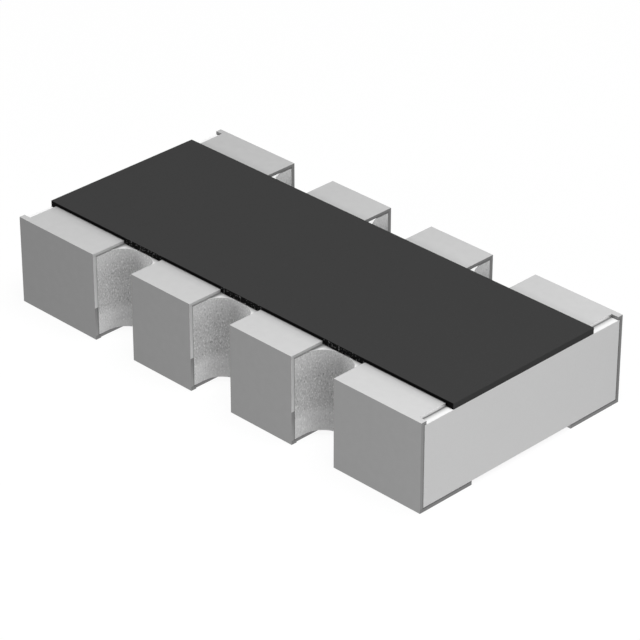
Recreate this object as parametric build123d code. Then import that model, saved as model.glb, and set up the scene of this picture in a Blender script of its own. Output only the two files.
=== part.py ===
from build123d import *
import os

# Chip resistor array with four isolated thick film resistors and eight convex wrap-around terminals.
# Millimetres. X runs along the row of terminals, the front long side faces -Y, +Z is up.
# The origin is at the middle of the chip, on the plane that it is soldered to.

# Layout
resistor_count = 4
terminal_pitch = 0.8  # one resistor to the next, and one notch to the next
chip_width = 1.6  # over the tin on both long sides

# Ceramic plate
substrate_thickness = 0.512
notch_width = 0.32
notch_depth = 0.216  # from the long edge of the ceramic to the overcoat, which ends at the notches
notch_back_flat = 0.04  # straight stretch between the two round corners of a notch

# Terminal layers, from the ceramic outwards
top_conductor_thickness = 0.008
side_conductor_thickness = 0.012
bottom_conductor_thickness = 0.013
nickel_thickness = 0.005
tin_thickness = 0.008
tin_edge_radius = 0.003  # the two long outer edges of a terminal
print_edge_radius = 0.004  # the free end of a corner terminal's top pad
bottom_pad_length = 0.4  # from the chip's long side inwards
top_print_setback = 0.05  # the corner terminals' top pads stop this far short of the chip's ends
bottom_print_setback = 0.008  # the bottom pads stop this far short of the notches

# Resistors
film_thickness = 0.008
film_lap = 0.06  # how far the film climbs onto each conductor
film_ramp = 0.02
film_side_margin = 0.047  # from the film's side to the conductor's side
glass_thickness = 0.006
glass_margin = 0.03  # past the film on every side
glass_edge_slope = 0.015
trim_kerf = 0.03
trim_uncut_width = 0.16  # film left beside the laser cut
trim_leg_length = 0.2

# Black overcoat
overcoat_cover = 0.016  # over the highest glass
overcoat_glass_overlap = 0.19  # from the end of the glass to the overcoat's long edge
overcoat_corner_radius = 0.004
overcoat_edge_radius = 0.002

# Worked out from the values above
chip_length = resistor_count * terminal_pitch
half_length = chip_length / 2
half_width = chip_width / 2
plating_thickness = nickel_thickness + tin_thickness
substrate_half_width = half_width - side_conductor_thickness - plating_thickness
substrate_bottom = bottom_conductor_thickness + plating_thickness
substrate_top = substrate_bottom + substrate_thickness
conductor_top = substrate_top + top_conductor_thickness
film_top = conductor_top + film_thickness
glass_top = film_top + glass_thickness
overcoat_top = glass_top + overcoat_cover
overcoat_half_width = substrate_half_width - notch_depth
glass_half_length = overcoat_half_width - overcoat_glass_overlap
film_half_length = glass_half_length - glass_margin
conductor_gap_half = film_half_length - film_lap
film_width = terminal_pitch - notch_width - 2 * (plating_thickness + film_side_margin)

numbers = range(1, resistor_count + 1)
notch_centres = [(i - resistor_count / 2) * terminal_pitch for i in range(1, resistor_count)]
resistor_centres = [(i - (resistor_count + 1) / 2) * terminal_pitch for i in numbers]
long_sides = {"front": -1, "back": 1}


def block(x0, x1, y0, y1, z0, z1):
    """A box between two corners, whichever way round they are given."""
    middle = ((x0 + x1) / 2, (y0 + y1) / 2, (z0 + z1) / 2)
    return Pos(*middle) * Box(abs(x1 - x0), abs(y1 - y0), abs(z1 - z0))


def across(points, x0, x1):
    """The closed outline through points (y, z), drawn out along X from x0 to x1."""
    outline = make_face(Polyline(*[(x0, y, z) for y, z in points], close=True))
    return extrude(outline, amount=x1 - x0, dir=(1, 0, 0))


def notch_cutter(centre, side):
    """One U-shaped notch, open to the long side, with the plate's full height."""
    reach = notch_depth + notch_width
    corner_radius = (notch_width - notch_back_flat) / 2
    outline = Rectangle(notch_width, reach)
    back = outline.vertices().sort_by(Axis.Y)[:2]
    outline = fillet(back, corner_radius)
    cutter = extrude(outline, amount=substrate_thickness)
    middle = substrate_half_width - notch_depth + reach / 2
    if side < 0:
        cutter = Rot(0, 0, 180) * cutter
    return Pos(centre, side * middle, substrate_bottom) * cutter


def make_substrate():
    plate = block(
        -half_length, half_length,
        -substrate_half_width, substrate_half_width,
        substrate_bottom, substrate_top,
    )
    for side in long_sides.values():
        for centre in notch_centres:
            plate -= notch_cutter(centre, side)
    return plate


def terminal_span(number):
    """The outer limits along X of a terminal, which fills what the notches leave."""
    left = -half_length if number == 1 else notch_centres[number - 2] + notch_width / 2
    right = half_length if number == resistor_count else notch_centres[number - 1] - notch_width / 2
    return left, right


def top_span(number):
    """As terminal_span, for the top pads, which keep clear of the chip's ends."""
    left, right = terminal_span(number)
    if number == 1:
        left += top_print_setback
    if number == resistor_count:
        right -= top_print_setback
    return left, right


def bottom_span(number):
    """As terminal_span, for the bottom pads, which keep clear of the notches."""
    left, right = terminal_span(number)
    if number > 1:
        left += bottom_print_setback
    if number < resistor_count:
        right -= bottom_print_setback
    return left, right


def top_layer(number, side, grown, inner):
    """The top leg of a terminal, its fired conductor grown outwards by a plating thickness."""
    left, right = top_span(number)
    inset = plating_thickness - grown
    return block(
        left + inset, right - inset,
        side * inner, side * substrate_half_width,
        substrate_top, conductor_top + grown,
    )


def side_layer(number, side, grown):
    """The upright leg, with a rim above the ceramic and a foot under it, also plated from inside."""
    left, right = terminal_span(number)
    inset = plating_thickness - grown
    outer = side * (half_width - inset)
    leg_inner = side * substrate_half_width
    plated_inner = side * (substrate_half_width - grown)
    x_limits = (left + inset, right - inset)
    leg = block(*x_limits, leg_inner, outer, substrate_bottom, substrate_top)
    foot = block(*x_limits, plated_inner, outer, inset, substrate_bottom)
    rim = block(*x_limits, plated_inner, outer, substrate_top, conductor_top + grown)
    return leg + foot + rim


def bottom_layer(number, side, grown):
    left, right = bottom_span(number)
    inset = plating_thickness - grown
    return block(
        left + inset, right - inset,
        side * (half_width - bottom_pad_length + inset), side * substrate_half_width,
        inset, substrate_bottom,
    )


def wrap(number, side, grown):
    """Everything that a terminal holds out to a plating thickness, outside the overcoat."""
    top = top_layer(number, side, grown, overcoat_half_width)
    return top + side_layer(number, side, grown) + bottom_layer(number, side, grown)


def make_conductors(number, side):
    return {
        "top": top_layer(number, side, 0, conductor_gap_half),
        "side": side_layer(number, side, 0),
        "bottom": bottom_layer(number, side, 0),
    }


def make_nickel(number, side):
    return wrap(number, side, nickel_thickness) - wrap(number, side, 0)


def make_tin(number, side):
    """The outer skin, rounded over along the chip's long edges and at a corner pad's free end."""
    skin = wrap(number, side, plating_thickness)
    across_top = skin.edges().filter_by(Axis.Y).group_by(Axis.Z)[-1].sort_by(Axis.X)
    if number == 1:
        skin = fillet(across_top[1], print_edge_radius)
    if number == resistor_count:
        skin = fillet(across_top[-2], print_edge_radius)
    outer = skin.faces().sort_by(Axis.Y)[0 if side < 0 else -1]
    skin = fillet(outer.edges().filter_by(Axis.X), tin_edge_radius)
    return skin - wrap(number, side, nickel_thickness)


def trim_cut(centre):
    """The laser's L-shaped path, from outside the glass into the film and then along it."""
    start = centre - film_width / 2 - 2 * glass_margin
    turn = centre + film_width / 2 - trim_uncut_width
    near = -trim_leg_length / 2
    cross = block(start, turn, near, near + trim_kerf, substrate_top, overcoat_top)
    along = block(turn - trim_kerf, turn, near, near + trim_leg_length, substrate_top, overcoat_top)
    return cross + along


def make_film(centre):
    """The resistive print between two conductors, with both ends lapped over them."""
    half = [
        (conductor_gap_half, substrate_top),
        (conductor_gap_half, conductor_top),
        (film_half_length, conductor_top),
        (film_half_length, film_top),
        (conductor_gap_half, film_top),
        (conductor_gap_half - film_ramp, substrate_top + film_thickness),
    ]
    mirrored = [(-y, z) for y, z in reversed(half)]
    body = across(half + mirrored, centre - film_width / 2, centre + film_width / 2)
    return body - trim_cut(centre)


def make_glass(centre, film, conductors):
    """The fired glass over one film, cut by the same laser path."""
    profile = [
        (-glass_half_length, substrate_top),
        (-glass_half_length, conductor_top),
        (-glass_half_length + glass_edge_slope, glass_top),
        (glass_half_length - glass_edge_slope, glass_top),
        (glass_half_length, conductor_top),
        (glass_half_length, substrate_top),
    ]
    half_glass = film_width / 2 + glass_margin
    body = across(profile, centre - half_glass, centre + half_glass)
    for piece in [film, trim_cut(centre), *conductors]:
        body -= piece
    return body


def make_overcoat(buried):
    """The black coat, flush with the chip's ends and moulded over all that lies under it."""
    plan = RectangleRounded(chip_length, 2 * overcoat_half_width, overcoat_corner_radius)
    coat = Pos(0, 0, substrate_top) * extrude(plan, amount=overcoat_top - substrate_top)
    coat = fillet(coat.edges().group_by(Axis.Z)[-1], overcoat_edge_radius)
    for piece in buried:
        coat -= piece
    return coat


def build():
    parts = {"substrate": make_substrate()}
    buried = []
    for number, centre in zip(numbers, resistor_centres):
        tops = []
        for name, side in long_sides.items():
            for layer, solid in make_conductors(number, side).items():
                parts[f"{layer}_conductor_{name}_{number}"] = solid
                if layer == "top":
                    tops.append(solid)
            parts[f"nickel_barrier_{name}_{number}"] = make_nickel(number, side)
            parts[f"tin_terminal_{name}_{number}"] = make_tin(number, side)
        film = make_film(centre)
        glass = make_glass(centre, film, tops)
        parts[f"resistor_film_{number}"] = film
        parts[f"glass_coat_{number}"] = glass
        buried += [*tops, film, glass]
    parts["overcoat"] = make_overcoat(buried)
    return parts


os.makedirs("parts", exist_ok=True)
for name, solid in build().items():
    export_step(solid, f"parts/{name}.step")
    print(name, round(solid.volume, 6))
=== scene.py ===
import math

import bpy
from mathutils import Matrix, Vector


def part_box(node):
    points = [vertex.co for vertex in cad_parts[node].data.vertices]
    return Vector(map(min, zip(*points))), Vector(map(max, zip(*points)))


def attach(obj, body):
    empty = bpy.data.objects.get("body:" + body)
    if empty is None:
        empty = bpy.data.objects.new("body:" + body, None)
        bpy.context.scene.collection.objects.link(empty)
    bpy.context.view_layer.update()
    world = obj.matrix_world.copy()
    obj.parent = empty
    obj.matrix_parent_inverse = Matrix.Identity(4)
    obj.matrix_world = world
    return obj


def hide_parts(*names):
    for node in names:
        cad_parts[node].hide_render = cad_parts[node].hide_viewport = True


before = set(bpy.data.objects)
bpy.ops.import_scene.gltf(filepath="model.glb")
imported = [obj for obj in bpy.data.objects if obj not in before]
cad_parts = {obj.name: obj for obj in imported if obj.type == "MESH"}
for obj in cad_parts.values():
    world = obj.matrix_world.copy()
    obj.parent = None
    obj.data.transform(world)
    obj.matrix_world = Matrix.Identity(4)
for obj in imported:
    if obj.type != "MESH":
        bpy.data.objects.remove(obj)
bpy.context.view_layer.update()
print("frame loaded")

# Shapes are built in millimetres, with the tools' usual merge distances, and brought to metres at the end.
toMetres = Matrix.Scale(0.001, 4)


def boxInMm(node):
    low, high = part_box(node)
    return low * 1000, high * 1000


plateLow, plateHigh = boxInMm("substrate")
cornerLow, cornerHigh = boxInMm("tin_terminal_back_1")
nextLeft = boxInMm("tin_terminal_back_2")[0].x
coatEdge = boxInMm("overcoat")[1].y
nickelEdge = boxInMm("nickel_barrier_back_1")[1].y
silverEdge = boxInMm("side_conductor_back_1")[1].y
topSilverLeft = boxInMm("top_conductor_back_1")[0].x
bottomSilverRight = boxInMm("bottom_conductor_back_1")[1].x

terminalCount = 4
pitch = (plateHigh.x - plateLow.x) / terminalCount
notchWidth = nextLeft - cornerHigh.x
halfNotch = notchWidth / 2
notchDepth = plateHigh.y - coatEdge  # the overcoat ends at the backs of the notches
firstNotch = (1 - terminalCount / 2) * pitch
halfRow = notchWidth - firstNotch  # from the middle to past the outermost notches
tinThickness = cornerHigh.y - nickelEdge
plating = cornerHigh.y - silverEdge  # nickel and tin together
padEnd = plating - topSilverLeft  # from the middle to the free ends of the corner pads


def linear(hexColour):
    channels = [int(hexColour[i:i + 2], 16) / 255 for i in (1, 3, 5)]
    return (*(c / 12.92 if c <= 0.04045 else ((c + 0.055) / 1.055) ** 2.4 for c in channels), 1.0)


# An input is a value, a hex colour, a socket, a node, which stands for its first output in use, or a list.
def addNode(tree, kind, inputs=None, **settings):
    node = tree.nodes.new(kind)
    for name, value in settings.items():
        setattr(node, name, value)
    for name, value in (inputs or {}).items():
        for source in value if isinstance(value, list) else [value]:
            if hasattr(source, "outputs"):
                source = next(output for output in source.outputs if output.enabled)
            if hasattr(source, "is_output"):
                tree.links.new(source, node.inputs[name])
            elif str(source).startswith("#"):
                node.inputs[name].default_value = linear(source)
            else:
                node.inputs[name].default_value = source
    return node


def newTree(name, sizes):
    tree = bpy.data.node_groups.new(name, "GeometryNodeTree")
    tree.interface.new_socket("Geometry", in_out="OUTPUT", socket_type="NodeSocketGeometry")
    for label, value in sizes.items():
        kind = "NodeSocketInt" if isinstance(value, int) else "NodeSocketFloat"
        tree.interface.new_socket(label, in_out="INPUT", socket_type=kind).default_value = value
    tree.interface.new_socket("Material", in_out="INPUT", socket_type="NodeSocketMaterial")
    return tree, addNode(tree, "NodeGroupInput").outputs


# The two corners are moved by a step, along the axes and the ways that moveLow and moveHigh give.
def boxBetween(tree, low, high, step=(0.0, 0.0, 0.0), moveLow=(0, 0, 0), moveHigh=(0, 0, 0)):
    corners = []
    for coordinates, move in ((low, moveLow), (high, moveHigh)):
        corner = addNode(tree, "ShaderNodeCombineXYZ", dict(zip("XYZ", coordinates)))
        corners.append(addNode(
            tree, "ShaderNodeVectorMath", {0: step, 1: move, 2: corner}, operation="MULTIPLY_ADD"
        ))
    low, high = corners
    size = addNode(tree, "ShaderNodeVectorMath", {0: high, 1: low}, operation="SUBTRACT")
    total = addNode(tree, "ShaderNodeVectorMath", {0: high, 1: low}, operation="ADD")
    middle = addNode(tree, "ShaderNodeVectorMath", {0: total, "Scale": 0.5}, operation="SCALE")
    cube = addNode(tree, "GeometryNodeMeshCube", {"Size": size})
    return addNode(tree, "GeometryNodeTransform", {"Geometry": cube, "Translation": middle})


def finishTree(tree, mesh, material):
    whole = addNode(tree, "GeometryNodeRealizeInstances", {"Geometry": mesh})
    painted = addNode(tree, "GeometryNodeSetMaterial", {"Geometry": whole, "Material": material})
    addNode(tree, "NodeGroupOutput", {"Geometry": painted})


# What a tree makes becomes a plain mesh in metres, with the edges rounded as its plan says.
def pieceFromTree(name, tree, plan, sizes, material, replaced):
    holder = bpy.data.objects.new(name + ".build", bpy.data.meshes.new(name + ".build"))
    bpy.context.scene.collection.objects.link(holder)
    modifier = holder.modifiers.new("shape", "NODES")
    modifier.node_group = tree
    for item in tree.interface.items_tree:
        if item.in_out == "INPUT":
            modifier[item.identifier] = material if item.name == "Material" else sizes[item.name]
    bevel = holder.modifiers.new("edges", "BEVEL")
    bevel.width = plan["edgeRadius"]
    bevel.segments = plan["edgeSegments"]
    bevel.limit_method = plan["edgesBy"]  # ANGLE, or WEIGHT where the tree weights its edges
    bevel.use_clamp_overlap = False
    evaluated = holder.evaluated_get(bpy.context.evaluated_depsgraph_get())
    mesh = bpy.data.meshes.new_from_object(evaluated)
    bpy.data.objects.remove(holder)
    mesh.transform(toMetres)
    mesh.shade_smooth()
    mesh.set_sharp_from_angle(angle=math.radians(plan["smoothUnder"]))
    mesh.name = name
    piece = bpy.data.objects.new(name, mesh)
    bpy.context.scene.collection.objects.link(piece)
    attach(piece, "root")
    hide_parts(*replaced)
    return piece


def newMaterial(name):
    material = bpy.data.materials.new(name)
    material.use_nodes = True
    tree = material.node_tree
    tree.nodes.clear()
    return material, tree


# Where a point lies on the chip, in millimetres, and how it faces, for what is painted by place. "out" is
# the place with the chip's halves folded together, and "across" the square of how it faces.
def readPlace(tree):
    where = addNode(tree, "ShaderNodeTexCoord").outputs
    normal = where["Normal"]
    point = addNode(tree, "ShaderNodeVectorMath", {0: where["Object"], "Scale": 1000.0}, operation="SCALE")
    folded = addNode(tree, "ShaderNodeVectorMath", {0: point}, operation="ABSOLUTE")
    squared = addNode(tree, "ShaderNodeVectorMath", {0: normal, 1: normal}, operation="MULTIPLY")
    place = {"point": point}
    for name, source in (("at", point), ("out", folded), ("facing", normal), ("across", squared)):
        parts = addNode(tree, "ShaderNodeSeparateXYZ", {0: source}).outputs
        for axis in "XYZ":
            place[name + axis] = parts[axis]
    place["inRow"] = addNode(tree, "ShaderNodeMath", {0: place["outX"], 1: halfRow}, operation="LESS_THAN")
    place["inFront"] = addNode(tree, "ShaderNodeMath", {0: place["atY"], 1: 0.0}, operation="LESS_THAN")
    place["fromNotch"] = addNode(
        tree, "ShaderNodeMath", {0: place["atX"], 1: pitch / 2}, operation="PINGPONG"
    )
    return place


def finishMaterial(tree, look, grain, inputs, bumpStrength=0.5):
    bump = addNode(tree, "ShaderNodeBump", {
        "Height": grain, "Distance": look["bumpMm"] / 1000, "Strength": bumpStrength,
    })
    surface = addNode(tree, "ShaderNodeBsdfPrincipled", {
        "Roughness": look["roughness"], "Normal": bump, **inputs,
    })
    addNode(tree, "ShaderNodeOutputMaterial", {"Surface": surface})


# Alumina, 96 percent, punched as a green tape and fired: matte and near white, with the top painted a little
# lighter than the sides as painted light. In the notches the punch left a speckled wall, scored upright, down
# to where the tape broke away, and a smoother one below, painted paler with painted bounce light from the
# floor, palest at the foot. Near the rim the wall is painted lighter with paler pits, painted light, and the
# back row's loses more of its pits. On top, painted shade darkens it beside the overcoat between the pads,
# and along the ends of the corner pads and the sides of the front row's. Painted contact shade runs as fine
# dark lines under the pads and the overcoat.
ceramicLook = {
    "face": "#f2f2f2",
    "faceShade": "#ececec",
    # painted light: the top a little lighter than the sides
    "top": "#f6f6f6",
    "topFrom": 0.9,  # the top is what faces up this far
    "punched": "#f8f8f8",
    "punchedPits": "#858585",
    "brokenAndFloorLit": "#fdfdfd",
    "brokenAndFloorLitPits": "#c3c3c3",
    "breakAtMm": 0.17,
    "breakSpreadMm": 0.06,
    "paintedLitRim": "#fcfcfc",
    "paintedLitRimPits": "#bbbbbb",
    "paintedLitRimOverMm": 0.38,
    "paintedLitRimSpreadMm": 0.12,
    "backRimLight": 0.35,  # the back row's rims lose this much more of their pits
    "floorLitFoot": "#fdfdfd",
    "floorLitFootMm": 0.06,
    "paintedCoatShade": "#8c8c8c",
    "paintedCoatShadeMm": 0.05,
    "paintedPadShade": "#6c6c6c",
    "paintedPadShadeMm": 0.04,
    "frontPadShadeFromMm": 0.006,
    "frontPadShadeToMm": 0.031,
    "underPads": "#8a8a8a",
    "underPadsMm": 0.005,
    "underPadsInMm": 0.004,  # walls no further than this from a land's side lie under its pad
    "underCoat": "#141414",
    "underCoatMm": 0.003,
    "roughness": 0.75,
    "specular": 0.1,
    "grainMm": 0.007,  # the fired grains are finer, and drawn as coarse as they need to show
    "grainDetail": 3.0,
    "grainRoughness": 0.6,
    "upright": 0.55,  # under 1 it draws the grains out upwards, as the punch scored them
    "blotchMm": 0.05,
    "blotchDetail": 2.0,
    "blotchShare": 0.06,
    "middle": 0.52,  # of the noise; specks stand out where it strays far from there
    "speckle": 0.8,
    "speckPeaks": 62.0,
    "bumpMm": 0.001,
    "bumpStrength": 0.6,
}


def makeCeramicMaterial(look):
    material, tree = newMaterial("alumina punched and fired")
    place = readPlace(tree)
    onTop = addNode(
        tree, "ShaderNodeMath", {0: place["facingZ"], 1: look["topFrom"]}, operation="GREATER_THAN"
    )
    topInRow = addNode(tree, "ShaderNodeMath", {0: onTop, 1: place["inRow"]}, operation="MULTIPLY")
    topInFront = addNode(tree, "ShaderNodeMath", {0: topInRow, 1: place["inFront"]}, operation="MULTIPLY")
    upright = addNode(tree, "ShaderNodeMath", {0: 1.0, 1: place["acrossZ"]}, operation="SUBTRACT")
    cut = addNode(tree, "ShaderNodeMath", {0: upright, 1: place["inRow"]}, operation="MULTIPLY")

    # The top: painted shade beside the overcoat between the pads, at the corner pads' ends and beside the
    # front row's pads.
    paintedCoatShade = addNode(tree, "ShaderNodeMapRange", {
        "Value": place["outY"], "From Min": coatEdge, "From Max": coatEdge + look["paintedCoatShadeMm"],
        "To Min": topInRow, "To Max": 0.0,
    })
    # Painted shade on the top near the pads' ends and sides.
    pastPads = addNode(tree, "ShaderNodeMath", {0: place["outX"], 1: padEnd}, operation="GREATER_THAN")
    topPastPads = addNode(tree, "ShaderNodeMath", {0: onTop, 1: pastPads}, operation="MULTIPLY")
    endPadShade = addNode(tree, "ShaderNodeMapRange", {
        "Value": place["outX"], "From Min": padEnd, "From Max": padEnd + look["paintedPadShadeMm"],
        "To Min": topPastPads, "To Max": 0.0,
    })
    endPadShade = addNode(tree, "ShaderNodeMath", {0: endPadShade, 1: endPadShade}, operation="MULTIPLY")
    sidePadShade = addNode(tree, "ShaderNodeMapRange", {
        "Value": place["fromNotch"],
        "From Min": halfNotch - look["frontPadShadeFromMm"],
        "From Max": halfNotch - look["frontPadShadeToMm"],
        "To Min": topInFront, "To Max": 0.0,
    })
    paintedPadShade = addNode(tree, "ShaderNodeMath", {0: endPadShade, 1: sidePadShade}, operation="MAXIMUM")

    # Painted contact shade: the fine dark lines under the pads and the overcoat, and on the top beside the
    # overcoat.
    nearPad = addNode(tree, "ShaderNodeMath", {
        0: place["atZ"], 1: plateHigh.z - look["underPadsMm"],
    }, operation="GREATER_THAN")
    besideLand = addNode(tree, "ShaderNodeMath", {
        0: place["fromNotch"], 1: halfNotch - look["underPadsInMm"],
    }, operation="GREATER_THAN")
    underPads = addNode(tree, "ShaderNodeMath", {0: nearPad, 1: besideLand}, operation="MULTIPLY")
    nearCoat = addNode(tree, "ShaderNodeMath", {
        0: place["atZ"], 1: plateHigh.z - look["underCoatMm"],
    }, operation="GREATER_THAN")
    besideCoat = addNode(tree, "ShaderNodeMath", {
        0: place["outY"], 1: coatEdge + look["underCoatMm"],
    }, operation="LESS_THAN")
    underCoat = addNode(tree, "ShaderNodeMath", {0: nearCoat, 1: besideCoat}, operation="MULTIPLY")
    topAtCoat = addNode(tree, "ShaderNodeMath", {0: topInRow, 1: besideCoat}, operation="MULTIPLY")

    # The pits of the cut walls.
    stretched = addNode(tree, "ShaderNodeMapping", {
        "Vector": place["point"], "Scale": (1.0, 1.0, look["upright"]),
    })
    fine = addNode(tree, "ShaderNodeTexNoise", {
        "Vector": stretched, "Scale": 1 / look["grainMm"],
        "Detail": look["grainDetail"], "Roughness": look["grainRoughness"],
    })
    broad = addNode(tree, "ShaderNodeTexNoise", {
        "Vector": stretched, "Scale": 1 / look["blotchMm"], "Detail": look["blotchDetail"],
    })
    mottled = addNode(tree, "ShaderNodeMix", {"Factor": look["blotchShare"], "A": fine, "B": broad})
    stray = addNode(tree, "ShaderNodeMath", {0: mottled, 1: look["middle"]}, operation="SUBTRACT")
    peaks = addNode(tree, "ShaderNodeMath", {0: stray, 1: stray}, operation="MULTIPLY")
    peaks = addNode(tree, "ShaderNodeMath", {
        0: peaks, 1: look["speckPeaks"], 2: look["speckle"],
    }, operation="MULTIPLY_ADD")
    pits = addNode(tree, "ShaderNodeMath", {0: stray, 1: peaks, 2: 0.5}, operation="MULTIPLY_ADD")
    # Painted light near the rim: the wall gets lighter with paler pits, and the back row's loses more of its
    # pits.
    paintedLitRim = addNode(tree, "ShaderNodeMapRange", {
        "Value": place["atZ"], "From Min": look["paintedLitRimOverMm"],
        "From Max": look["paintedLitRimOverMm"] + look["paintedLitRimSpreadMm"],
    })
    lost = addNode(tree, "ShaderNodeMapRange", {
        "Value": place["inFront"], "To Min": look["backRimLight"], "To Max": 0.0,
    })
    lost = addNode(tree, "ShaderNodeMath", {0: paintedLitRim, 1: lost}, operation="MULTIPLY")
    pits = addNode(tree, "ShaderNodeMath", {0: pits, 1: lost}, operation="SUBTRACT")
    # Below a given height the wall is smoother and painted paler, painted bounce light from the floor, palest
    # at the foot.
    brokenAndFloorLit = addNode(tree, "ShaderNodeMapRange", {
        "Value": place["atZ"],
        "From Min": look["breakAtMm"] + look["breakSpreadMm"] / 2,
        "From Max": look["breakAtMm"] - look["breakSpreadMm"] / 2,
    })
    alongY = addNode(tree, "ShaderNodeMath", {0: place["facingY"]}, operation="ABSOLUTE")
    floorLitFoot = addNode(tree, "ShaderNodeMapRange", {
        "Value": place["atZ"], "From Min": plateLow.z + look["floorLitFootMm"], "From Max": plateLow.z,
        "To Max": alongY,
    })

    # Row by row, a mask lays the second of two tones over the first, and the result gets the row's name.
    tones = dict(look)
    for name, mask, under, over in (
        ("light", brokenAndFloorLit, "punched", "brokenAndFloorLit"),
        ("light", paintedLitRim, "light", "paintedLitRim"),
        ("dark", brokenAndFloorLit, "punchedPits", "brokenAndFloorLitPits"),
        ("dark", paintedLitRim, "dark", "paintedLitRimPits"),
        ("dark", floorLitFoot, "dark", "floorLitFoot"),
        ("wall", pits, "light", "dark"),
        ("wall", underPads, "wall", "underPads"),
        ("wall", underCoat, "wall", "underCoat"),
        ("face", fine, "faceShade", "face"),
        ("face", onTop, "face", "top"),
        ("face", paintedCoatShade, "face", "paintedCoatShade"),
        ("face", topAtCoat, "face", "underCoat"),
        ("face", paintedPadShade, "face", "paintedPadShade"),
        ("whole", cut, "face", "wall"),
    ):
        tones[name] = addNode(tree, "ShaderNodeMix", {
            "Factor": mask, "A": tones[under], "B": tones[over],
        }, data_type="RGBA")
    bumpStrength = addNode(tree, "ShaderNodeMath", {0: cut, 1: look["bumpStrength"]}, operation="MULTIPLY")
    finishMaterial(tree, look, fine, {
        "Base Color": tones["whole"], "Specular IOR Level": look["specular"],
    }, bumpStrength)
    return material


# Tin, electroplated matte: a dense skin of fine crystals, which scatters light like satin.
# Its tones by facing and place are painted light and shade: lightest on the flat pads, with a painted
# highlight along their rounded edges, and painted greyer on the long sides and thin ends. In the front row
# the legs' ends carry painted light, a painted reflection of the white notch, down to a given height.
tinLook = {
    "tops": "#cbcbcb",
    "longSides": "#8d8d8d",
    "frontCornerLegs": "#8b8b8b",
    "backCornerLegs": "#7e7e7e",
    "cornerPads": "#eeeeee",
    "frontLegs": "#e2e2e2",
    "frontPads": "#d9d9d9",
    "frontFeet": "#969696",
    "backLegs": "#7a7a7a",
    "backPads": "#7a7a7a",
    "soles": "#808080",
    # painted highlight on rounded edges that face up, painted shade on those that face down
    "upperEdges": "#a8a8a8",
    "lowerEdges": "#707070",
    "edgeGain": 4.0,  # brings a rounded edge to its full tone where it faces half up and half out
    # the front row's leg ends carry painted light above this height, and are less metallic there
    "litEndsAboveMm": 0.207,
    "litEndsMetallic": 0.4,
    "padMetallic": 0.6,  # the crystals on the pads scatter some light instead of mirroring it
    "darkBandByCoatMm": 0.0095,  # painted shade: the dark band between a pad and the overcoat
    "darkBandByCoatBlackMm": 0.003,
    "darkBandByCoatShade": 0.0,
    "besideCoatMm": 0.075,  # and a soft painted shade beside it
    "besideCoatShade": 0.88,
    "towardsRight": 0.12,
    "towardsFront": 0.045,
    "blotchMm": 0.05,
    "blotchDetail": 3.0,
    "blotchShare": 0.08,
    "lineMm": 0.008,  # painted contact shade: the fine dark line where the skin meets the ceramic
    "lineShade": 0.42,
    "backLineShade": 0.9,  # hardly there on the back row's legs
    "roughness": 0.5,
    "grainMm": 0.006,
    "grainDetail": 2.0,
    "bumpMm": 0.0003,
}


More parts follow.
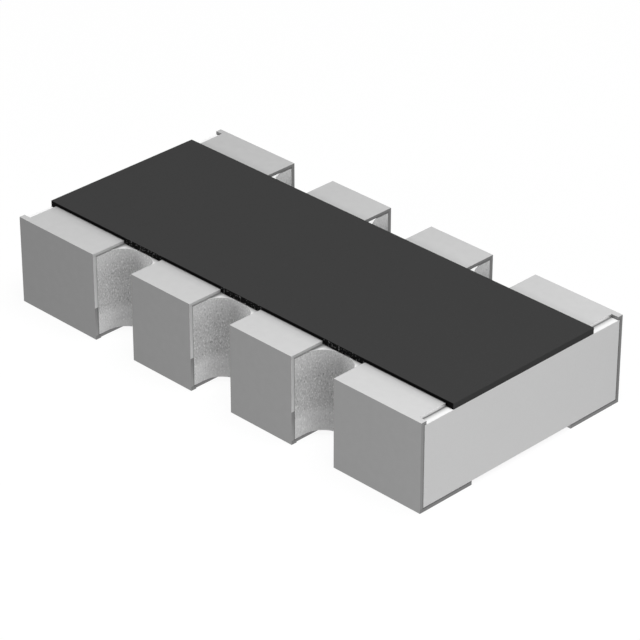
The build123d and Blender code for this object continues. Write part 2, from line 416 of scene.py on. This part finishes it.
def makeTinMaterial(look):
    material, tree = newMaterial("tin matte electroplate")
    place = readPlace(tree)
    inRow, inFront, height = place["inRow"], place["inFront"], place["atZ"]
    acrossX, acrossY, acrossZ = place["acrossX"], place["acrossY"], place["acrossZ"]

    overBreak = addNode(
        tree, "ShaderNodeMath", {0: height, 1: look["litEndsAboveMm"]}, operation="GREATER_THAN"
    )
    overPlate = addNode(tree, "ShaderNodeMath", {0: height, 1: plateHigh.z}, operation="GREATER_THAN")
    underPlate = addNode(tree, "ShaderNodeMath", {0: height, 1: plateLow.z}, operation="LESS_THAN")
    onPad = addNode(tree, "ShaderNodeMath", {0: place["outX"], 1: padEnd + plating}, operation="LESS_THAN")
    onPad = addNode(tree, "ShaderNodeMath", {0: onPad, 1: overPlate}, operation="MULTIPLY")
    litEnds = addNode(tree, "ShaderNodeMath", {0: inRow, 1: inFront}, operation="MULTIPLY")
    litEnds = addNode(tree, "ShaderNodeMath", {0: litEnds, 1: overBreak}, operation="MULTIPLY")
    litEnds = addNode(tree, "ShaderNodeMath", {0: litEnds, 1: acrossX}, operation="MULTIPLY")
    metallic = addNode(tree, "ShaderNodeMapRange", {
        "Value": acrossZ, "To Min": 1.0, "To Max": look["padMetallic"],
    })
    metallic = addNode(tree, "ShaderNodeMapRange", {
        "Value": litEnds, "To Min": metallic, "To Max": look["litEndsMetallic"],
    })
    # Painted highlight on rounded edges facing up, and painted shade on those facing down.
    upwards = addNode(tree, "ShaderNodeMath", {0: place["facingZ"], 1: 0.0}, operation="GREATER_THAN")
    onEdge = addNode(tree, "ShaderNodeMath", {0: acrossY, 1: acrossZ}, operation="MULTIPLY")
    onEdge = addNode(tree, "ShaderNodeMath", {0: onEdge, 1: look["edgeGain"]}, operation="MULTIPLY")

    # Painted light and shade: each face gets a tone by how it faces and where it lies.
    tones = dict(look)
    for name, mask, under, over in (
        ("legs", overBreak, "frontFeet", "frontLegs"),
        ("legs", inFront, "backLegs", "legs"),
        ("cornerLegs", inFront, "backCornerLegs", "frontCornerLegs"),
        ("legs", inRow, "cornerLegs", "legs"),
        ("pads", inFront, "backPads", "frontPads"),
        ("pads", inRow, "cornerPads", "pads"),
        ("ends", onPad, "legs", "pads"),
        ("ends", underPlate, "ends", "soles"),
        ("whole", acrossZ, "longSides", "tops"),
        ("whole", acrossX, "whole", "ends"),
        ("edges", upwards, "lowerEdges", "upperEdges"),
        ("whole", onEdge, "whole", "edges"),
    ):
        tones[name] = addNode(tree, "ShaderNodeMix", {
            "Factor": mask, "A": tones[under], "B": tones[over],
        }, data_type="RGBA")

    # The painted contact shade, a dark line, by how far a point lies from the ceramic plate that the skin
    # folds around.
    fromPlate = addNode(tree, "ShaderNodeMath", {0: place["outY"], 1: plateHigh.y}, operation="SUBTRACT")
    for first, second in ((height, plateHigh.z), (plateLow.z, height)):
        past = addNode(tree, "ShaderNodeMath", {0: first, 1: second}, operation="SUBTRACT")
        fromPlate = addNode(tree, "ShaderNodeMath", {0: fromPlate, 1: past}, operation="MAXIMUM")
    behind = addNode(tree, "ShaderNodeMath", {0: 1.0, 1: inFront}, operation="SUBTRACT")
    onLeg = addNode(tree, "ShaderNodeMath", {0: 1.0, 1: overPlate}, operation="SUBTRACT")
    onBackLeg = addNode(tree, "ShaderNodeMath", {0: inRow, 1: behind}, operation="MULTIPLY")
    onBackLeg = addNode(tree, "ShaderNodeMath", {0: onBackLeg, 1: onLeg}, operation="MULTIPLY")
    lineShade = addNode(tree, "ShaderNodeMapRange", {
        "Value": onBackLeg, "To Min": look["lineShade"], "To Max": look["backLineShade"],
    })
    line = addNode(tree, "ShaderNodeMapRange", {
        "Value": fromPlate, "From Max": look["lineMm"], "To Min": lineShade, "To Max": 1.0,
    })

    # The painted shade on the pads beside the overcoat, a dark band and a softer shade. The legs count as a
    # millimetre further off.
    fromCoat = addNode(tree, "ShaderNodeMath", {0: place["outY"], 1: coatEdge}, operation="SUBTRACT")
    fromCoat = addNode(tree, "ShaderNodeMath", {0: fromCoat, 1: onLeg}, operation="ADD")
    darkBandByCoat = addNode(tree, "ShaderNodeMapRange", {
        "Value": fromCoat, "From Min": look["darkBandByCoatBlackMm"], "From Max": look["darkBandByCoatMm"],
        "To Min": look["darkBandByCoatShade"], "To Max": 1.0,
    })
    besideCoat = addNode(tree, "ShaderNodeMapRange", {
        "Value": fromCoat, "From Max": look["besideCoatMm"], "To Min": look["besideCoatShade"], "To Max": 1.0,
    })

    # Painted light: a slow drift in tone, lighter towards the right end and the front, but not on the thin
    # ends; and faint blotches.
    slope = (look["towardsRight"] / plateHigh.x, -look["towardsFront"] / plateHigh.y, 0.0)
    drift = addNode(tree, "ShaderNodeVectorMath", {0: place["point"], 1: slope}, operation="DOT_PRODUCT")
    offEnds = addNode(tree, "ShaderNodeMath", {0: 1.0, 1: acrossX}, operation="SUBTRACT")
    drift = addNode(tree, "ShaderNodeMath", {0: drift, 1: offEnds}, operation="MULTIPLY")
    blotches = addNode(tree, "ShaderNodeTexNoise", {
        "Vector": place["point"], "Scale": 1 / look["blotchMm"], "Detail": look["blotchDetail"],
    })
    gain = addNode(tree, "ShaderNodeMath", {
        0: blotches, 1: look["blotchShare"], 2: 1 - look["blotchShare"] / 2,
    }, operation="MULTIPLY_ADD")
    gain = addNode(tree, "ShaderNodeMath", {0: gain, 1: drift}, operation="ADD")
    for shade in (line, darkBandByCoat, besideCoat):
        gain = addNode(tree, "ShaderNodeMath", {0: gain, 1: shade}, operation="MULTIPLY")
    tone = addNode(tree, "ShaderNodeVectorMath", {0: tones["whole"], "Scale": gain}, operation="SCALE")

    grain = addNode(tree, "ShaderNodeTexNoise", {
        "Vector": place["point"], "Scale": 1 / look["grainMm"], "Detail": look["grainDetail"],
    })
    finishMaterial(tree, look, grain, {"Base Color": tone, "Metallic": metallic})
    return material


# Epoxy overcoat, screen printed and cured: black and matte, with hardly any grain to see.
# Its long sides are painted blackest, painted shade, with dull specks over the notches, and its faces at
# the chip's ends are painted a little grey, painted light.
overcoatLook = {
    "top": "#3e3e3e",
    "topShade": "#3a3a3a",
    "longEdges": "#0c0c0c",
    "specks": "#7a7a7a",
    "specksMm": 0.013,  # a grain of the filler is finer, and drawn as coarse as it needs to show
    "specksFrom": 0.56,  # of the noise
    "specksFull": 0.7,
    "paintedLitCoatEnds": "#434343",
    "roughness": 0.9,
    "specular": 0.05,
    "grainMm": 0.01,
    "grainDetail": 2.0,
    "bumpMm": 0.0003,
}


def makeOvercoatMaterial(look):
    material, tree = newMaterial("epoxy overcoat printed")
    place = readPlace(tree)
    grain, coarse = (addNode(tree, "ShaderNodeTexNoise", {
        "Vector": place["point"], "Scale": 1 / look[size], "Detail": look["grainDetail"],
    }) for size in ("grainMm", "specksMm"))
    overNotch = addNode(tree, "ShaderNodeMath", {0: place["fromNotch"], 1: halfNotch}, operation="LESS_THAN")
    overNotch = addNode(tree, "ShaderNodeMath", {0: overNotch, 1: place["inRow"]}, operation="MULTIPLY")
    specks = addNode(tree, "ShaderNodeMapRange", {
        "Value": coarse, "From Min": look["specksFrom"], "From Max": look["specksFull"], "To Max": overNotch,
    })
    # Painted shade blackens the long sides and painted light greys the ends.
    tones = dict(look)
    for name, mask, under, over in (
        ("whole", grain, "topShade", "top"),
        ("edges", specks, "longEdges", "specks"),
        ("whole", place["acrossY"], "whole", "edges"),
        ("whole", place["acrossX"], "whole", "paintedLitCoatEnds"),
    ):
        tones[name] = addNode(tree, "ShaderNodeMix", {
            "Factor": mask, "A": tones[under], "B": tones[over],
        }, data_type="RGBA")
    finishMaterial(tree, look, grain, {
        "Base Color": tones["whole"], "Specular IOR Level": look["specular"],
    })
    return material


# Nickel, electroplated in a sulfamate bath: a satin, slightly warm grey.
nickelLook = {
    "colour": "#b4b0a8",
    "shade": "#a09c94",
    "roughness": 0.35,
    "metallic": 1.0,
    "grainMm": 0.004,
    "bumpMm": 0.0003,
}

# Silver palladium paste, screen printed and fired: pale, dull, with the grain of sintered flakes.
silverLook = {
    "colour": "#dcdad6",
    "shade": "#bcb8b0",
    "roughness": 0.55,
    "metallic": 1.0,
    "grainMm": 0.008,
    "bumpMm": 0.001,
}

# Ruthenium oxide paste, screen printed and fired: near black, slightly glossy and mottled.
filmLook = {
    "colour": "#2c2c30",
    "shade": "#1c1c20",
    "roughness": 0.45,
    "metallic": 0.0,
    "grainMm": 0.01,
    "bumpMm": 0.0008,
}

# Borosilicate glass, screen printed and fired over the film: dark green and glossy.
glassLook = {
    "colour": "#3c6450",
    "shade": "#2e5242",
    "roughness": 0.2,
    "metallic": 0.0,
    "grainMm": 0.03,
    "bumpMm": 0.0004,
}


def makeGrainedMaterial(name, look):
    material, tree = newMaterial(name)
    where = addNode(tree, "ShaderNodeTexCoord").outputs["Object"]
    grain = addNode(tree, "ShaderNodeTexNoise", {
        "Vector": where, "Scale": 1000 / look["grainMm"], "Detail": 2.0,
    })
    tone = addNode(tree, "ShaderNodeMix", {
        "Factor": grain, "A": look["shade"], "B": look["colour"],
    }, data_type="RGBA")
    finishMaterial(tree, look, grain, {"Base Color": tone, "Metallic": look["metallic"]})
    return material


ceramic = makeCeramicMaterial(ceramicLook)
tin = makeTinMaterial(tinLook)
overcoat = makeOvercoatMaterial(overcoatLook)
nickel = makeGrainedMaterial("nickel satin electroplate", nickelLook)
silver = makeGrainedMaterial("silver palladium fired paste", silverLook)
film = makeGrainedMaterial("ruthenium oxide fired paste", filmLook)
glass = makeGrainedMaterial("borosilicate glass fired paste", glassLook)
print("materials made")

platePlan = {
    "sizes": {
        "Left": plateLow.x,
        "Right": plateHigh.x,
        "Front": plateLow.y,
        "Back": plateHigh.y,
        "Bottom": plateLow.z,
        "Top": plateHigh.z,
        "Notches": terminalCount - 1,
        "First notch": firstNotch,
        "Pitch": pitch,
        "Notch width": notchWidth,
        "Notch depth": notchDepth,
        "Corner radius": 0.14,
        "Corner steps": 24,
    },
    "edgeRadius": 0.002,
    "edgeSegments": 3,
    "edgesBy": "ANGLE",
    "smoothUnder": 12,
}


def makePlateTree(plan):
    tree, given = newTree("notched plate", plan["sizes"])
    plate = boxBetween(
        tree, (given["Left"], given["Front"], given["Bottom"]), (given["Right"], given["Back"], given["Top"])
    )
    # The punch: a rectangle with two round corners, longer than the notch is deep and taller than the plate.
    length = addNode(tree, "ShaderNodeMath", {0: given["Notch depth"], 1: 2.0}, operation="MULTIPLY")
    height = addNode(tree, "ShaderNodeMath", {0: given["Top"], 1: 2.0}, operation="MULTIPLY")
    below = addNode(tree, "ShaderNodeMath", {0: given["Top"], 1: -0.5}, operation="MULTIPLY")
    outline = addNode(tree, "GeometryNodeCurvePrimitiveQuadrilateral", {
        "Width": given["Notch width"], "Height": length,
    })
    position = addNode(tree, "GeometryNodeInputPosition")
    along = addNode(tree, "ShaderNodeSeparateXYZ", {0: position}).outputs["Y"]
    radius = addNode(tree, "ShaderNodeMath", {0: along, 1: 0.0}, operation="LESS_THAN")
    radius = addNode(tree, "ShaderNodeMath", {0: radius, 1: given["Corner radius"]}, operation="MULTIPLY")
    outline = addNode(tree, "GeometryNodeFilletCurve", {
        "Curve": outline, "Count": given["Corner steps"], "Radius": radius,
    }, mode="POLY")
    face = addNode(tree, "GeometryNodeFillCurve", {"Curve": outline}, mode="NGONS")
    up = addNode(tree, "ShaderNodeCombineXYZ", {"Z": height})
    raised = addNode(tree, "GeometryNodeExtrudeMesh", {
        "Mesh": face, "Offset": up, "Offset Scale": 1.0, "Individual": False,
    })
    base = addNode(tree, "GeometryNodeFlipFaces", {"Mesh": face})
    punch = addNode(tree, "GeometryNodeJoinGeometry", {"Geometry": [raised, base]})
    punch = addNode(tree, "GeometryNodeMergeByDistance", {"Geometry": punch})
    # One row of punches along the back, and the same row turned round for the front.
    start = addNode(tree, "ShaderNodeCombineXYZ", {"X": given["First notch"], "Y": given["Back"], "Z": below})
    step = addNode(tree, "ShaderNodeCombineXYZ", {"X": given["Pitch"]})
    row = addNode(tree, "GeometryNodeMeshLine", {
        "Count": given["Notches"], "Start Location": start, "Offset": step,
    }, mode="OFFSET")
    punches = addNode(tree, "GeometryNodeInstanceOnPoints", {"Points": row, "Instance": punch})
    punches = addNode(tree, "GeometryNodeRealizeInstances", {"Geometry": punches})
    turned = addNode(tree, "GeometryNodeTransform", {"Geometry": punches, "Rotation": (0.0, 0.0, math.pi)})
    notched = addNode(tree, "GeometryNodeMeshBoolean", {
        "Mesh 1": plate, "Mesh 2": [punches, turned],
    }, operation="DIFFERENCE", solver="EXACT")
    finishTree(tree, notched, given["Material"])
    return tree


plateTree = makePlateTree(platePlan)
pieceFromTree(
    "ceramic_plate", plateTree, platePlan, platePlan["sizes"], ceramic, ["substrate"]
)
print("ceramic plate made")

# One terminal, as it stands in the back row. Its pads may be narrower than its leg.
terminalPlan = {
    "sizes": {
        "Left": cornerLow.x,
        "Right": cornerHigh.x,
        "Top left": cornerLow.x,
        "Top right": cornerHigh.x,
        "Bottom left": cornerLow.x,
        "Bottom right": cornerHigh.x,
        "Outside": cornerHigh.y,
        "Pad end": cornerLow.y,
        "Height": cornerHigh.z,
        "Half height": cornerHigh.z / 2,
        "Plate edge": plateHigh.y,
        "Plate bottom": plateLow.z,
        "Plate top": plateHigh.z,
        "Overcoat edge": coatEdge,
        "Fold": plateHigh.y - plating,  # where the plating turns over the edge of the ceramic
        "Skin": tinThickness,
    },
    "edgeRadius": 0.003,
    "edgeSegments": 3,
    "edgesBy": "WEIGHT",
    "outerWeight": 0.5,  # outer edges are rounded by this share, and the free end of a pad in full
    "smoothUnder": 1,
    "cutterReach": 1.0,  # how far a cutter runs past what it cuts
    "samePlane": 0.0005,  # an edge no further than this from a plane lies on it
}


def makeTerminalTree(plan):
    tree, given = newTree("tin terminal", plan["sizes"])
    left, right, end, outside = given["Left"], given["Right"], given["Pad end"], given["Outside"]
    middle, top, fold, skin = given["Half height"], given["Height"], given["Fold"], given["Skin"]
    plateEdge, past = given["Plate edge"], (plan["cutterReach"],) * 3
    body = boxBetween(tree, (left, end, 0.0), (right, outside, top))
    cutters = [
        boxBetween(
            tree, (left, end, given["Plate bottom"]), (right, plateEdge, given["Plate top"]),
            past, (-1, -1, 0), (1, 0, 0),
        ),
        boxBetween(
            tree, (left, end, middle), (right, given["Overcoat edge"], top), past, (-1, -1, 0), (1, 0, 1)
        ),
    ]
    # Both pads may stop short of the leg's two sides, except in their fold over the edge of the ceramic.
    for pad, low, high, down, up in (("Top", middle, top, 0, 1), ("Bottom", 0.0, middle, -1, 0)):
        padLeft, padRight = given[pad + " left"], given[pad + " right"]
        for first, last, leftwards, rightwards in ((left, padLeft, -1, 0), (padRight, right, 0, 1)):
            strip = boxBetween(
                tree, (first, end, low), (last, fold, high),
                past, (leftwards, -1, down), (rightwards, 0, up),
            )
            short = addNode(tree, "ShaderNodeMath", {0: last, 1: first}, operation="GREATER_THAN")
            cutters.append(addNode(tree, "GeometryNodeSwitch", {
                "Switch": short, "True": strip,
            }, input_type="GEOMETRY"))
    # The room inside the skin, which the nickel fills: the leg, the bottom pad and the top pad.
    inside = addNode(tree, "ShaderNodeMath", {0: end, 1: plan["cutterReach"]}, operation="SUBTRACT")
    cutters += [
        boxBetween(tree, (left, fold, 0.0), (right, outside, top), skin, (1, 1, 1), (-1, -1, -1)),
        boxBetween(
            tree, (given["Bottom left"], end, 0.0), (given["Bottom right"], plateEdge, middle),
            skin, (1, 1, 1), (-1, 0, 0),
        ),
        boxBetween(
            tree, (given["Top left"], inside, middle), (given["Top right"], plateEdge, top),
            skin, (1, 0, 0), (-1, 0, -1),
        ),
    ]
    hollowed = addNode(tree, "GeometryNodeMeshBoolean", {
        "Mesh 1": body, "Mesh 2": cutters,
    }, operation="DIFFERENCE", solver="EXACT")

    # An outer edge lies on two of the outer planes, which are counted. A pad's free end lies on a stop alone.
    position = addNode(tree, "GeometryNodeInputPosition")
    along = addNode(tree, "ShaderNodeSeparateXYZ", {0: position}).outputs
    onLeft, onRight, onTopLeft, onTopRight, onOutside, onTop, onSole = (
        addNode(tree, "ShaderNodeMath", {0: along[axis], 1: plane, 2: plan["samePlane"]}, operation="COMPARE")
        for axis, plane in (
            ("X", left), ("X", right), ("X", given["Top left"]), ("X", given["Top right"]),
            ("Y", outside), ("Z", top), ("Z", 0.0),
        )
    )
    onSide = addNode(tree, "ShaderNodeMath", {0: onLeft, 1: onRight}, operation="MAXIMUM")
    onStop = addNode(tree, "ShaderNodeMath", {0: onTopLeft, 1: onTopRight}, operation="MAXIMUM")
    topStop = addNode(tree, "ShaderNodeMath", {0: onStop, 1: onTop}, operation="MULTIPLY")
    acrossRow = addNode(tree, "ShaderNodeMath", {0: onSide, 1: topStop}, operation="MAXIMUM")
    level = addNode(tree, "ShaderNodeMath", {0: onTop, 1: onSole}, operation="MAXIMUM")
    planes = addNode(tree, "ShaderNodeMath", {0: acrossRow, 1: onOutside}, operation="ADD")
    planes = addNode(tree, "ShaderNodeMath", {0: planes, 1: level}, operation="ADD")
    outer = addNode(tree, "ShaderNodeMath", {0: planes, 1: 1.5}, operation="GREATER_THAN")
    free = addNode(tree, "ShaderNodeMath", {0: onStop, 1: onSide}, operation="GREATER_THAN")
    weight = addNode(tree, "ShaderNodeMath", {
        0: free, 1: 1 - plan["outerWeight"], 2: plan["outerWeight"],
    }, operation="MULTIPLY_ADD")
    weight = addNode(tree, "ShaderNodeMath", {0: outer, 1: weight}, operation="MULTIPLY")
    weighted = addNode(tree, "GeometryNodeStoreNamedAttribute", {
        "Geometry": hollowed, "Name": "bevel_weight_edge", "Value": weight,
    }, data_type="FLOAT", domain="EDGE")
    finishTree(tree, weighted, given["Material"])
    return tree


terminalTree = makeTerminalTree(terminalPlan)
topSetback = topSilverLeft - plateLow.x - plating  # of the corner terminals' top pads at the chip's ends
bottomSetback = cornerHigh.x - bottomSilverRight - plating  # of the bottom pads at the notches
for number in range(1, terminalCount + 1):
    for side in ("front", "back"):
        node = f"tin_terminal_{side}_{number}"
        low, high = boxInMm(node)
        turned = side == "front"  # built at the back, then turned half round
        left, right = (-high.x, -low.x) if turned else (low.x, high.x)
        fromLeft = terminalCount + 1 - number if turned else number
        sizes = dict(terminalPlan["sizes"])
        sizes["Left"], sizes["Right"] = left, right
        sizes["Top left"] = left + (topSetback if fromLeft == 1 else 0.0)
        sizes["Top right"] = right - (topSetback if fromLeft == terminalCount else 0.0)
        sizes["Bottom left"] = left + (0.0 if fromLeft == 1 else bottomSetback)
        sizes["Bottom right"] = right - (0.0 if fromLeft == terminalCount else bottomSetback)
        piece = pieceFromTree(
            node + "_skin", terminalTree, terminalPlan, sizes, tin, [node]
        )
        if turned:
            piece.data.transform(Matrix.Rotation(math.pi, 4, "Z"))
print("terminals made")

# The other CAD nodes have their right shape and get a finish each.
finishes = {
    "overcoat": overcoat,
    "nickel_barrier": nickel,
    "top_conductor": silver,
    "side_conductor": silver,
    "bottom_conductor": silver,
    "resistor_film": film,
    "glass_coat": glass,
}
for name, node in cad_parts.items():
    for start, finish in finishes.items():
        if name.startswith(start):
            node.data.materials.clear()
            node.data.materials.append(finish)
print("overcoat and inner layers finished")

# The photographer's studio, in millimetres: a pale floor, an even sky, a soft lamp above and two small ones.
studio = {
    "target": (-0.004, 0.06, 0.172),
    "azimuth": 45.06,
    "elevation": 29.96,
    "distance": 18.205,
    "lens": 179.81,
    "nearest": 0.1,
    "furthest": 10000.0,
    "floorSize": 600.0,
    "floorColour": "#a8a8a8",
    "floorDrop": 0.002,
    "shadowShare": 0.08,
    "white": "#ffffff",
    "sky": 0.1,
    # a name, the middle, the width and the radiance of each
    "lamps": (
        ("key", (10.0, 0.0, 40.0), 30.0, 7.6),
        ("side", (12.0, -5.0, 2.8), 6.0, 2.6),
        ("fill", (-6.0, -9.0, 2.5), 4.0, 7.0),
    ),
}


def placeCamera(plan):
    azimuth, elevation = math.radians(plan["azimuth"]), math.radians(plan["elevation"])
    back = Vector((
        math.sin(azimuth) * math.cos(elevation), -math.cos(azimuth) * math.cos(elevation), math.sin(elevation)
    ))
    camera = bpy.data.objects.new("camera", bpy.data.cameras.new("camera"))
    bpy.context.scene.collection.objects.link(camera)
    camera.location = (Vector(plan["target"]) + back * plan["distance"]) / 1000
    camera.rotation_euler = (-back).to_track_quat("-Z", "Y").to_euler()
    camera.data.lens = plan["lens"]
    camera.data.clip_start = plan["nearest"] / 1000
    camera.data.clip_end = plan["furthest"] / 1000
    bpy.context.scene.camera = camera


# 1 for the eye and for what it sees in and through the chip, and 0 for the light that falls on it.
def seenByEye(tree):
    rays = addNode(tree, "ShaderNodeLightPath").outputs
    seen = rays["Is Camera Ray"]
    for ray in ("Is Glossy Ray", "Is Transmission Ray"):
        seen = addNode(tree, "ShaderNodeMath", {0: seen, 1: rays[ray]}, operation="MAXIMUM")
    return seen


def makeFloor(plan):
    material, tree = newMaterial("floor paper")
    paper = addNode(tree, "ShaderNodeBsdfDiffuse", {"Color": plan["floorColour"]})
    # To the eye the floor is white, and keeps a share of the shadow.
    shaded = addNode(tree, "ShaderNodeBsdfDiffuse", {"Color": plan["white"]})
    white = addNode(tree, "ShaderNodeEmission", {"Color": plan["white"], "Strength": 1.0})
    shown = addNode(tree, "ShaderNodeMixShader", {0: plan["shadowShare"], 1: white, 2: shaded})
    both = addNode(tree, "ShaderNodeMixShader", {0: seenByEye(tree), 1: paper, 2: shown})
    addNode(tree, "ShaderNodeOutputMaterial", {"Surface": both})
    half = plan["floorSize"] / 2000
    drop = -plan["floorDrop"] / 1000
    mesh = bpy.data.meshes.new("floor")
    corners = [(-half, -half, drop), (half, -half, drop), (half, half, drop), (-half, half, drop)]
    mesh.from_pydata(corners, [], [(0, 1, 2, 3)])
    mesh.materials.append(material)
    floor = bpy.data.objects.new("floor", mesh)
    bpy.context.scene.collection.objects.link(floor)


def makeSky(plan):
    world = bpy.data.worlds.new("studio")
    world.use_nodes = True
    tree = world.node_tree
    tree.nodes.clear()
    light = addNode(tree, "ShaderNodeBackground", {"Color": plan["white"], "Strength": plan["sky"]})
    white = addNode(tree, "ShaderNodeBackground", {"Color": plan["white"], "Strength": 1.0})
    both = addNode(tree, "ShaderNodeMixShader", {0: seenByEye(tree), 1: light, 2: white})
    addNode(tree, "ShaderNodeOutputWorld", {"Surface": both})
    bpy.context.scene.world = world


def makeLamp(name, middle, width, radiance):
    lamp = bpy.data.lights.new(name, "AREA")
    lamp.shape = "DISK"
    lamp.size = width / 1000
    # A disk lamp of this power shows this radiance.
    lamp.energy = radiance * math.pi * math.pi * (lamp.size / 2) ** 2
    holder = bpy.data.objects.new(name, lamp)
    bpy.context.scene.collection.objects.link(holder)
    holder.location = Vector(middle) / 1000
    holder.rotation_euler = (-Vector(middle)).to_track_quat("-Z", "Y").to_euler()
    holder.visible_camera = False
    holder.visible_glossy = False  # the tin shows the white room evenly, from any side


placeCamera(studio)
makeFloor(studio)
makeSky(studio)
for lamp in studio["lamps"]:
    makeLamp(*lamp)
bpy.context.scene.view_settings.view_transform = "Standard"
print("studio set")

bpy.context.view_layer.update()
